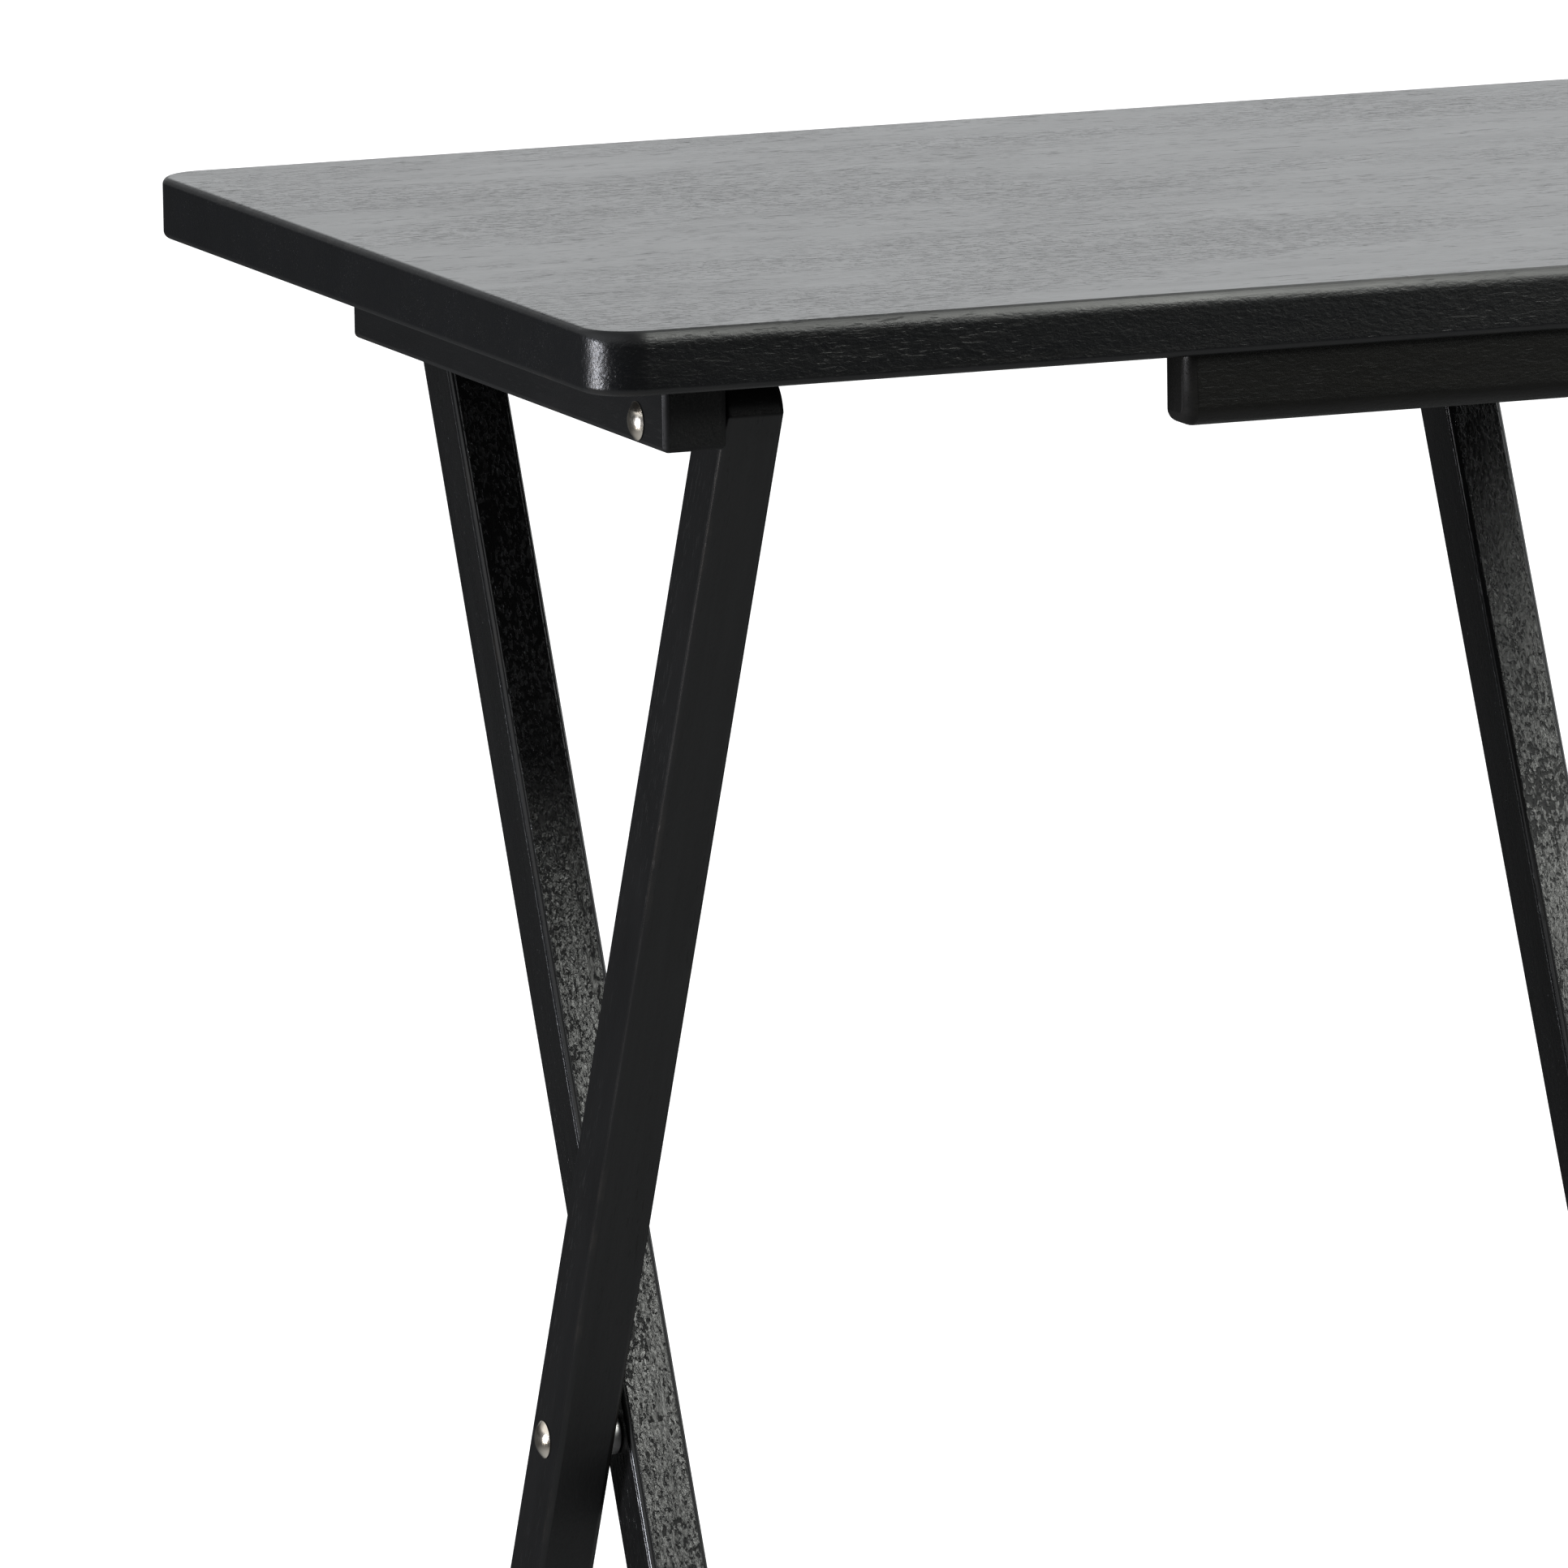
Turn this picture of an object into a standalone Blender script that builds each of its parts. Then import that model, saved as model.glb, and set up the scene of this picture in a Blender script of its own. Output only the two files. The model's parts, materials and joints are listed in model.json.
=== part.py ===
"""Folding tray table: a rectangular wooden top on two pairs of crossed legs.

The outer legs hang from two cleats under the top by a pair of pivot bolts.
The inner legs cross them at mid height on a second pair of bolts, and their
top crossbar sits in two spring clips under the back of the top.

Frame: X along the long side of the top, Y towards the back, Z up.
Origin: on the floor, under the middle of the top.  Units: metres.
"""
import math

import bmesh
import bpy
from mathutils import Matrix, Vector

MM = 0.001

# ---------------------------------------------------------------- dimensions
HEIGHT = 660 * MM            # floor to the top face
TOP_L = 466 * MM             # along X
TOP_W = 368 * MM             # along Y
TOP_T = 18 * MM
TOP_CORNER_R = 15 * MM       # rounding of the four corners, seen from above
TOP_EDGE_R = 3 * MM          # rounding of the long arrises

GAP = 0.3 * MM               # clearance between touching pieces

CLEAT_INSET = 25.5 * MM      # from the end of the top to the cleat's outer face
CLEAT_W = 18.5 * MM
CLEAT_H = 19 * MM
CLEAT_FRONT = 17.5 * MM      # behind the front face of the top
CLEAT_LEN = 248 * MM

LEG_W = 17.5 * MM            # along X
LEG_D = 21 * MM              # across the leg, seen from the side
LEG_ARRIS = 1.8 * MM
LEG_HEAD_R = 12 * MM         # the head's arc about its pivot, just clear of the top
LEG_HEAD_CORNER = 2 * MM     # where that arc runs into the leg's front and back
OUTER_INSET = 47 * MM        # end of the top to the outer leg's outer face
LEG_GAP = 4.2 * MM           # between an outer leg and the inner leg beside it

PIVOT_TOP_Y, PIVOT_TOP_Z = -146 * MM, 629.5 * MM
PIVOT_MID_Y, PIVOT_MID_Z = -2 * MM, 313.6 * MM

BATTEN_L, BATTEN_W, BATTEN_H = 120.5 * MM, 17 * MM, 20.5 * MM
BATTEN_X = 2 * MM            # its middle, a little to the right of the board's
BATTEN_FRONT = 4 * MM
BATTEN_NOSE_R = 6 * MM       # its lower front arris

CROSSBAR_R = 7 * MM
CROSSBAR_SOCKET = 8 * MM     # how far the dowel enters each inner leg

SLAT_T, SLAT_H = 10 * MM, 32 * MM
SLAT_DOWN = 235 * MM         # mid pivot to the slat's middle, along the leg

BOLT_R = 3.0 * MM
BOLT_BORE_R = 3.45 * MM
HEAD_R = 5.5 * MM
HEAD_H = 2.3 * MM
INSERT_R, INSERT_L = 4.6 * MM, 10 * MM
WASHER_R = 6.2 * MM

SCREW_R = 1.75 * MM
SCREW_HEAD_R = 3.5 * MM
SCREW_HEAD_H = 2.1 * MM

CLIP_W = 14 * MM
CLIP_X = 95 * MM
CLIP_T = 2.5 * MM

# ------------------------------------------------------------ derived places
HALF_L = TOP_L / 2
UNDERSIDE = HEIGHT - TOP_T
PIVOT_TOP = Vector((0, PIVOT_TOP_Y, PIVOT_TOP_Z))
PIVOT_MID = Vector((0, PIVOT_MID_Y, PIVOT_MID_Z))
RUN = PIVOT_MID_Y - PIVOT_TOP_Y
RISE = PIVOT_TOP_Z - PIVOT_MID_Z
TILT = math.atan2(RUN, RISE)
CROSSBAR = Vector((0, PIVOT_MID_Y + RUN, PIVOT_TOP_Z))

OUTER_A = HALF_L - OUTER_INSET            # |X| of the outer leg's outer face
OUTER_B = OUTER_A - LEG_W                 # and of its inner face
INNER_A = OUTER_B - LEG_GAP
INNER_B = INNER_A - LEG_W
CLEAT_A = HALF_L - CLEAT_INSET
CLEAT_B = CLEAT_A - CLEAT_W

WOOD = ((0.012, 0.011, 0.011), 0.38, 0.0)
STEEL = ((0.62, 0.60, 0.56), 0.28, 1.0)
BRASS = ((0.70, 0.50, 0.24), 0.30, 1.0)
ZINC = ((0.55, 0.55, 0.56), 0.38, 1.0)
NYLON = ((0.02, 0.02, 0.02), 0.50, 0.0)

# ------------------------------------------------------------------- helpers
for ob in list(bpy.data.objects):
    bpy.data.objects.remove(ob, do_unlink=True)

scene_collection = bpy.context.scene.collection


def pivot_empty(name, place):
    ob = bpy.data.objects.new(name, None)
    ob.empty_display_size = 0.03
    ob.location = place
    scene_collection.objects.link(ob)
    return ob


TOP_HINGE = pivot_empty("top_hinge_axis", PIVOT_TOP)
LEG_HINGE = pivot_empty("leg_fold_axis", PIVOT_MID)


def finish(name, bm, look, parent=None, smooth=False):
    """Turn a bmesh in world metres into a named object with its own material."""
    bmesh.ops.recalc_face_normals(bm, faces=bm.faces[:])
    if parent is not None:
        bmesh.ops.translate(bm, verts=bm.verts[:], vec=-parent.location)
    mesh = bpy.data.meshes.new(name)
    bm.to_mesh(mesh)
    bm.free()
    if smooth:
        mesh.shade_smooth()
        mesh.set_sharp_from_angle(angle=math.radians(35))
    ob = bpy.data.objects.new(name, mesh)
    scene_collection.objects.link(ob)
    if parent is not None:
        ob.parent = parent
    colour, rough, metal = look
    mat = bpy.data.materials.new(name + "_finish")
    mat.use_nodes = True
    shader = mat.node_tree.nodes["Principled BSDF"]
    shader.inputs["Base Color"].default_value = (*colour, 1)
    shader.inputs["Roughness"].default_value = rough
    shader.inputs["Metallic"].default_value = metal
    mesh.materials.append(mat)
    return ob


def cutter(name, bm):
    """A hidden body that only cuts holes; it stays in world coordinates."""
    bmesh.ops.recalc_face_normals(bm, faces=bm.faces[:])
    mesh = bpy.data.meshes.new(name)
    bm.to_mesh(mesh)
    bm.free()
    ob = bpy.data.objects.new(name, mesh)
    ob.hide_render = True
    ob.display_type = "WIRE"
    scene_collection.objects.link(ob)
    return ob


def round_arrises(ob, width, segments=2):
    mod = ob.modifiers.new("arrises", "BEVEL")
    mod.width = width
    mod.segments = segments
    mod.limit_method = "ANGLE"
    mod.angle_limit = math.radians(40)
    mod.harden_normals = False


def cut(ob, tool):
    mod = ob.modifiers.new("holes", "BOOLEAN")
    mod.operation = "DIFFERENCE"
    mod.solver = "EXACT"
    mod.object = tool


def add_prism(bm, loop, offset):
    """Close a flat loop of points and carry it along the offset vector."""
    a = [bm.verts.new(p) for p in loop]
    b = [bm.verts.new(Vector(p) + Vector(offset)) for p in loop]
    n = len(loop)
    bm.faces.new(a)
    bm.faces.new(b[::-1])
    for i in range(n):
        bm.faces.new((a[i], b[i], b[(i + 1) % n], a[(i + 1) % n]))


def add_box(bm, low, high):
    x0, y0, z0 = low
    x1, y1, z1 = high
    add_prism(bm, [(x0, y0, z0), (x1, y0, z0), (x1, y1, z0), (x0, y1, z0)],
              (0, 0, z1 - z0))


def side_basis(axis):
    axis = Vector(axis).normalized()
    u = axis.orthogonal().normalized()
    return axis, u, axis.cross(u)


def add_turned(bm, start, axis, profile, segments):
    """Spin (distance along the axis, radius) pairs about an axis."""
    axis, u, v = side_basis(axis)
    rings = []
    for along, r in profile:
        centre = Vector(start) + axis * along
        if r <= 0:
            rings.append([bm.verts.new(centre)])
        else:
            rings.append([bm.verts.new(centre + (u * math.cos(t) + v * math.sin(t)) * r)
                          for t in (2 * math.pi * k / segments for k in range(segments))])
    for a, b in zip(rings, rings[1:]):
        for k in range(segments):
            m = (k + 1) % segments
            if len(a) == 1 and len(b) == 1:
                continue
            if len(a) == 1:
                bm.faces.new((a[0], b[k], b[m]))
            elif len(b) == 1:
                bm.faces.new((a[k], b[0], a[m]))
            else:
                bm.faces.new((a[k], b[k], b[m], a[m]))
    if len(rings[0]) > 1:
        bm.faces.new(rings[0])
    if len(rings[-1]) > 1:
        bm.faces.new(rings[-1][::-1])


def add_ring(bm, start, axis, inner, outer, thick, segments, edge=0.0):
    """A washer or sleeve: a tube of rectangular section, softened by edge."""
    axis, u, v = side_basis(axis)
    section = [(0, inner), (0, outer - edge), (edge, outer), (thick - edge, outer),
               (thick, outer - edge), (thick, inner)] if edge > 0 else \
              [(0, inner), (0, outer), (thick, outer), (thick, inner)]
    rings = []
    for k in range(segments):
        t = 2 * math.pi * k / segments
        out = u * math.cos(t) + v * math.sin(t)
        rings.append([bm.verts.new(Vector(start) + axis * a + out * r) for a, r in section])
    n = len(section)
    for k in range(segments):
        a, b = rings[k], rings[(k + 1) % segments]
        for i in range(n):
            bm.faces.new((a[i], b[i], b[(i + 1) % n], a[(i + 1) % n]))


def screw_profile(length, grow=0.0, sink=0.0):
    """Countersunk wood screw from its head; grow > 0 gives its hole."""
    head = SCREW_HEAD_R + grow
    body = SCREW_R + grow
    tip = length + (0.6 * MM if grow else 0)
    top = -sink if grow else 0
    points = [(top, head)]
    if grow:
        points.append((0.25 * MM, head))
    points += [(SCREW_HEAD_H + (0.2 * MM if grow else 0), body), (tip - 3 * MM, body)]
    points.append((tip, 0 if not grow else body * 0.45))
    return points


def screw_set(names, places, axis, length, look, parent, hosts):
    """One screw for each name; its head starts at its place and points along the axis."""
    holes = bmesh.new()
    for name, p in zip(names, places):
        bm = bmesh.new()
        add_turned(bm, p, axis, [(0, 0)] + screw_profile(length), 12)
        finish(name, bm, look, parent, smooth=True)
        add_turned(holes, p, axis, screw_profile(length, 0.35 * MM, 1.5 * MM), 12)
    tool = cutter("cut_" + names[0], holes)
    for host in hosts:
        cut(host, tool)


# ------------------------------------------------------------------ tabletop
def rounded_rectangle(half_x, half_y, radius, steps):
    points = []
    for sx, sy, start in ((1, 1, 0), (-1, 1, 90), (-1, -1, 180), (1, -1, 270)):
        for k in range(steps + 1):
            t = math.radians(start + 90 * k / steps)
            points.append((sx * (half_x - radius) + radius * math.cos(t),
                           sy * (half_y - radius) + radius * math.sin(t)))
    return points


bm = bmesh.new()
outline = rounded_rectangle(HALF_L, TOP_W / 2, TOP_CORNER_R, 7)
add_prism(bm, [(x, y, UNDERSIDE) for x, y in outline], (0, 0, TOP_T))
tabletop = finish("tabletop", bm, WOOD, TOP_HINGE)
round_arrises(tabletop, TOP_EDGE_R, 3)

cleats = {}
for side, s in (("left", -1), ("right", 1)):
    bm = bmesh.new()
    y0 = -TOP_W / 2 + CLEAT_FRONT
    add_box(bm, (min(s * CLEAT_A, s * CLEAT_B), y0, UNDERSIDE - CLEAT_H),
            (max(s * CLEAT_A, s * CLEAT_B), y0 + CLEAT_LEN, UNDERSIDE - GAP))
    cleats[side] = finish("cleat_" + side, bm, WOOD, TOP_HINGE)
    round_arrises(cleats[side], 1.5 * MM)

y0, y1 = -TOP_W / 2 + BATTEN_FRONT, -TOP_W / 2 + BATTEN_FRONT + BATTEN_W
z0, z1 = UNDERSIDE - BATTEN_H, UNDERSIDE - GAP
section = [(y0, z1)]
for k in range(6):
    t = math.pi / 2 * k / 5
    section.append((y0 + BATTEN_NOSE_R * (1 - math.cos(t)),
                    z0 + BATTEN_NOSE_R * (1 - math.sin(t))))
section += [(y1, z0), (y1, z1)]
bm = bmesh.new()
add_prism(bm, [Vector((BATTEN_X - BATTEN_L / 2, y, z)) for y, z in section], (BATTEN_L, 0, 0))
batten = finish("front_batten", bm, WOOD, TOP_HINGE)
round_arrises(batten, 2 * MM)

# ---------------------------------------------------------------------- legs
def leg_loop(head, lean, x):
    """Side outline of a leg: round at the head, level at the floor.

    lean is +1 where the foot is behind the head and -1 where it is in front.
    """
    down = Vector((0, lean * math.sin(TILT), -math.cos(TILT)))
    back = Vector((0, math.cos(TILT), lean * math.sin(TILT)))
    half = LEG_D / 2
    points = []
    # the arc of the head, with a small fillet at each end
    cx = half - LEG_HEAD_CORNER
    cy = math.sqrt((LEG_HEAD_R - LEG_HEAD_CORNER) ** 2 - cx ** 2)
    turn = math.atan2(cy, cx)
    outline = []
    for k in range(4):
        t = turn * k / 3
        outline.append((cx + LEG_HEAD_CORNER * math.cos(t), cy + LEG_HEAD_CORNER * math.sin(t)))
    steps = 9
    for k in range(1, steps):
        t = turn + (math.pi - 2 * turn) * k / steps
        outline.append((LEG_HEAD_R * math.cos(t), LEG_HEAD_R * math.sin(t)))
    for k in range(3, -1, -1):
        t = turn * k / 3
        outline.append((-cx - LEG_HEAD_CORNER * math.cos(t), cy + LEG_HEAD_CORNER * math.sin(t)))
    for across, up in outline:
        points.append(head + back * across - down * up)
    for side in (-1, 1):
        edge = head + back * (side * half)
        reach = edge.z / math.cos(TILT)
        points.append(edge + down * reach)
    for p in points:
        p.x = x
    return points


outer_legs, inner_legs = {}, {}
for side, s in (("left", -1), ("right", 1)):
    bm = bmesh.new()
    add_prism(bm, leg_loop(PIVOT_TOP.copy(), 1, s * OUTER_A), (-s * LEG_W, 0, 0))
    outer_legs[side] = finish("outer_leg_" + side, bm, WOOD)
    round_arrises(outer_legs[side], LEG_ARRIS)
    bm = bmesh.new()
    add_prism(bm, leg_loop(CROSSBAR.copy(), -1, s * INNER_A), (-s * LEG_W, 0, 0))
    inner_legs[side] = finish("inner_leg_" + side, bm, WOOD, LEG_HINGE)
    round_arrises(inner_legs[side], LEG_ARRIS)

# ------------------------------------------------------------------ crossbar
bar_end = INNER_B + CROSSBAR_SOCKET
bm = bmesh.new()
add_turned(bm, (-bar_end, CROSSBAR.y, CROSSBAR.z), (1, 0, 0),
           [(0, CROSSBAR_R - 0.6 * MM), (0.6 * MM, CROSSBAR_R),
            (2 * bar_end - 0.6 * MM, CROSSBAR_R), (2 * bar_end, CROSSBAR_R - 0.6 * MM)], 32)
crossbar = finish("crossbar", bm, WOOD, LEG_HINGE, smooth=True)

for side, s in (("left", -1), ("right", 1)):
    bm = bmesh.new()
    add_turned(bm, (s * (INNER_B - 2 * MM), CROSSBAR.y, CROSSBAR.z), (s, 0, 0),
               [(0, CROSSBAR_R + 0.4 * MM),
                (CROSSBAR_SOCKET + 2 * MM + 0.4 * MM, CROSSBAR_R + 0.4 * MM)], 32)
    cut(inner_legs[side], cutter("cut_socket_" + side, bm))
    screw_set(["crossbar_screw_" + side],
              [(s * (INNER_A - 0.3 * MM), CROSSBAR.y, CROSSBAR.z)], (-s, 0, 0),
              34 * MM, ZINC, LEG_HINGE, [inner_legs[side], crossbar])

# --------------------------------------------------------------------- slats
def slat(name, lean, half_length, parent, hosts, screw_x):
    """A flat lower rail on the outside of a leg pair."""
    down = Vector((0, lean * math.sin(TILT), -math.cos(TILT)))
    out = Vector((0, lean * math.cos(TILT), math.sin(TILT)))
    middle = PIVOT_MID + down * SLAT_DOWN + out * (LEG_D / 2 + GAP)
    a = middle - down * (SLAT_H / 2)
    loop = [a, a + out * SLAT_T, a + out * SLAT_T + down * SLAT_H, a + down * SLAT_H]
    for p in loop:
        p.x = -half_length
    bm = bmesh.new()
    add_prism(bm, loop, (2 * half_length, 0, 0))
    ob = finish(name, bm, WOOD, parent)
    round_arrises(ob, 2 * MM)
    places, names = [], []
    for side, s in (("left", -1), ("right", 1)):
        for level, along in (("upper", -8 * MM), ("lower", 8 * MM)):
            p = middle + out * (SLAT_T - 0.3 * MM) + down * along
            p.x = s * screw_x
            places.append(p)
            names.append("%s_screw_%s_%s" % (name, side, level))
    screw_set(names, places, -out, 24 * MM, ZINC, parent, [ob] + hosts)
    return ob


slat("outer_stretcher", 1, OUTER_A - 2 * MM, None,
     [outer_legs["left"], outer_legs["right"]], (OUTER_A + OUTER_B) / 2)
slat("inner_stretcher", -1, INNER_A - 2 * MM, LEG_HINGE,
     [inner_legs["left"], inner_legs["right"]], (INNER_A + INNER_B) / 2)

# ------------------------------------------------------- screws under the top
cleat_x = (CLEAT_A + CLEAT_B) / 2
for side, s in (("left", -1), ("right", 1)):
    screw_set(["cleat_screw_%s_%s" % (side, w) for w in ("front", "middle", "rear")],
              [(s * cleat_x, y * MM, UNDERSIDE - CLEAT_H + 0.3 * MM) for y in (-112, -26, 60)],
              (0, 0, 1), 29 * MM, ZINC, TOP_HINGE, [cleats[side], tabletop])
screw_set(["batten_screw_left", "batten_screw_right"],
          [(x, -TOP_W / 2 + BATTEN_FRONT + BATTEN_W / 2 + 1.5 * MM,
            UNDERSIDE - BATTEN_H + 0.3 * MM)
           for x in (BATTEN_X - 38 * MM, BATTEN_X + 38 * MM)],
          (0, 0, 1), 29 * MM, ZINC, TOP_HINGE, [batten, tabletop])

# --------------------------------------------------------------- spring clips
# The clip's channel opens forwards and down, the way the crossbar leaves it
# when the back of the top is lifted.
CLIP_LEAN = math.radians(31)
clip_out = Vector((0, -math.sin(CLIP_LEAN), -math.cos(CLIP_LEAN)))
clip_side = Vector((0, math.cos(CLIP_LEAN), -math.sin(CLIP_LEAN)))
CLIP_INNER = CROSSBAR_R + 0.7 * MM

for side, s in (("left", -1), ("right", 1)):
    x0 = s * CLIP_X - CLIP_W / 2
    inner, outer = [], []
    steps = 12
    for k in range(steps + 1):
        t = math.pi * k / steps
        way = clip_side * math.cos(t) - clip_out * math.sin(t)
        inner.append(CROSSBAR + way * CLIP_INNER)
        outer.append(CROSSBAR + way * (CLIP_INNER + CLIP_T))
    # the back arm (first) is long and flares away; the front arm is short
    back_tip_in = CROSSBAR + clip_side * (CLIP_INNER + 1.0 * MM) + clip_out * 8 * MM
    back_tip_out = CROSSBAR + clip_side * (CLIP_INNER + CLIP_T + 0.6 * MM) + clip_out * 8.6 * MM
    front_tip_in = CROSSBAR - clip_side * (CLIP_INNER + 0.5 * MM) + clip_out * 3 * MM
    front_tip_out = CROSSBAR - clip_side * (CLIP_INNER + CLIP_T) + clip_out * 3.4 * MM
    loop = [back_tip_out] + outer + [front_tip_out, front_tip_in] + inner[::-1] + [back_tip_in]
    for p in loop:
        p.x = x0
    bm = bmesh.new()
    add_prism(bm, loop, (CLIP_W, 0, 0))
    clip = finish("crossbar_clip_" + side, bm, NYLON, TOP_HINGE)
    bm = bmesh.new()
    add_box(bm, (x0, CROSSBAR.y - 21 * MM, UNDERSIDE - GAP - 2.6 * MM),
            (x0 + CLIP_W, CROSSBAR.y + 21 * MM, UNDERSIDE - GAP))
    plate = cutter("join_clip_plate_" + side, bm)
    mod = clip.modifiers.new("plate", "BOOLEAN")
    mod.operation = "UNION"
    mod.solver = "EXACT"
    mod.object = plate
    screw_set(["clip_screw_%s_front" % side, "clip_screw_%s_rear" % side],
              [(s * CLIP_X, CROSSBAR.y + dy * MM, UNDERSIDE - GAP - 2.3 * MM)
               for dy in (-16, 16)],
              (0, 0, 1), 14 * MM, ZINC, TOP_HINGE, [clip, tabletop])

# ---------------------------------------------------------------- pivot bolts
def dome_profile(shank):
    points = [(0, 0)]
    steps = 4
    # a shallow dome: part of a sphere of radius (R^2 + h^2) / 2h
    ball = (HEAD_R ** 2 + HEAD_H ** 2) / (2 * HEAD_H)
    top = math.asin(HEAD_R / ball)
    for k in range(1, steps + 1):
        t = top * k / steps
        points.append((ball * (1 - math.cos(t)), ball * math.sin(t)))
    points[-1] = (HEAD_H - 0.4 * MM, HEAD_R)
    points.append((HEAD_H, HEAD_R))
    points.append((HEAD_H, BOLT_R))
    points.append((HEAD_H + shank - 0.5 * MM, BOLT_R))
    points.append((HEAD_H + shank, BOLT_R - 0.5 * MM))
    return points


def pivot_set(level, side, s, y, z, head_face, washer_face, washer_t, insert_face,
              bored, parent, washer_parent):
    """Bolt, spacer and threaded insert of one pivot.

    head_face, washer_face and insert_face are |X| of the face under the head,
    of the face the spacer lies on, and of the leg's inner face at the insert.
    """
    into = Vector((-s, 0, 0))
    bm = bmesh.new()
    start = Vector((s * (head_face + GAP + HEAD_H), y, z))
    shank = head_face + GAP - (insert_face + 2.5 * MM)
    add_turned(bm, start, into, dome_profile(shank), 24)
    finish("%s_pivot_bolt_%s" % (level, side), bm, STEEL, parent, smooth=True)

    bm = bmesh.new()
    add_ring(bm, (s * (washer_face - GAP), y, z), into, BOLT_BORE_R, WASHER_R,
             washer_t, 24)
    finish("%s_pivot_washer_%s" % (level, side), bm, ZINC, washer_parent, smooth=True)

    bm = bmesh.new()
    add_ring(bm, (s * (insert_face + INSERT_L + 0.6 * MM), y, z), into,
             BOLT_BORE_R, INSERT_R, INSERT_L, 20)
    finish("%s_pivot_insert_%s" % (level, side), bm, BRASS, parent, smooth=True)

    bm = bmesh.new()
    add_turned(bm, (s * (head_face + 5 * MM), y, z), into,
               [(0, BOLT_BORE_R), (head_face - insert_face + 10 * MM, BOLT_BORE_R)], 24)
    bore = cutter("cut_%s_bore_%s" % (level, side), bm)
    for host in bored:
        cut(host, bore)
    bm = bmesh.new()
    add_turned(bm, (s * (insert_face + INSERT_L + 1.0 * MM), y, z), into,
               [(0, INSERT_R + 0.4 * MM), (INSERT_L + 5 * MM, INSERT_R + 0.4 * MM)], 24)
    cut(bored[-1], cutter("cut_%s_insert_%s" % (level, side), bm))


for side, s in (("left", -1), ("right", 1)):
    pivot_set("top", side, s, PIVOT_TOP_Y, PIVOT_TOP_Z, CLEAT_A, CLEAT_B,
              CLEAT_B - OUTER_A - 2 * GAP, OUTER_B,
              [cleats[side], outer_legs[side]], None, None)
    pivot_set("mid", side, s, PIVOT_MID_Y, PIVOT_MID_Z, OUTER_A, OUTER_B,
              LEG_GAP - 2 * GAP, INNER_B,
              [outer_legs[side], inner_legs[side]], LEG_HINGE, LEG_HINGE)
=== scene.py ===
import json
import math
import random

import bmesh
import bpy
from mathutils import Matrix, Vector


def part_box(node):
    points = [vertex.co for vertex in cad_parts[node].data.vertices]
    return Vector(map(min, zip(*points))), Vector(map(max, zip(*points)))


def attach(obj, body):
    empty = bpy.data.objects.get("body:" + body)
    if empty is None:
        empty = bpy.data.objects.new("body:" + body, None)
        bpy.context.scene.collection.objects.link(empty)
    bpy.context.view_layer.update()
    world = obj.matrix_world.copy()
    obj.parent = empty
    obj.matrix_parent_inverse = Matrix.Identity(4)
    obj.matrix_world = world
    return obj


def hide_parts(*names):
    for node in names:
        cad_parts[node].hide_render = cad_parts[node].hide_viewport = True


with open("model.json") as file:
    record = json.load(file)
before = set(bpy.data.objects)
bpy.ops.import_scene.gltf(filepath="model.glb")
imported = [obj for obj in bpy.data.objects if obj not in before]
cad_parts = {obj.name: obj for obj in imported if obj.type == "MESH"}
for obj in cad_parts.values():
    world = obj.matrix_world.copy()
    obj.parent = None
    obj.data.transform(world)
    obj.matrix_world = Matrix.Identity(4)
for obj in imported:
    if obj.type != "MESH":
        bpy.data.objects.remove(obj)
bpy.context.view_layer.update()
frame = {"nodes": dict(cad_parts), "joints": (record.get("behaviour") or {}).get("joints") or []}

random.seed(7)
MM = 0.001
UP = Vector((0, 0, 1))

# --------------------------------------------------------------------------
# Places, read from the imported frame
# --------------------------------------------------------------------------
JOINTS = {j["name"]: j for j in frame["joints"]}
TOP_PIVOT = Vector(JOINTS["top_hinge"]["pos_m"])
MID_PIVOT = Vector(JOINTS["leg_fold"]["pos_m"])
RUN, RISE = MID_PIVOT.y - TOP_PIVOT.y, TOP_PIVOT.z - MID_PIVOT.z
TILT = math.atan2(RUN, RISE)
CROSSBAR = Vector((0, MID_PIVOT.y + RUN, TOP_PIVOT.z))
LEG_D = 21 * MM
scene = bpy.context.scene

# --------------------------------------------------------------------------
# Camera: long lens, 21.5 degrees round to the left, 9.9 degrees down
# --------------------------------------------------------------------------
az, el, roll = math.radians(21.4596), math.radians(9.8990), math.radians(0.8546)
look = Vector((math.sin(az) * math.cos(el), math.cos(az) * math.cos(el), -math.sin(el)))
level = Vector((math.cos(az), -math.sin(az), 0))
down = look.cross(level)
right = level * math.cos(roll) + down * math.sin(roll)
down = down * math.cos(roll) - level * math.sin(roll)
cam_data = bpy.data.cameras.new("view")
cam_data.sensor_width = 36
cam_data.lens = 19740.39 / 1932 * 36
cam_data.clip_start, cam_data.clip_end = 0.05, 200
cam = bpy.data.objects.new("view", cam_data)
scene.collection.objects.link(cam)
cam.matrix_world = Matrix.Translation((-1.761558, -4.205140, 1.286299)) @ Matrix(
    (right, -down, -look)).transposed().to_4x4()
scene.camera = cam
scene.view_settings.view_transform = "Standard"
scene.view_settings.look = "None"


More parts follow.
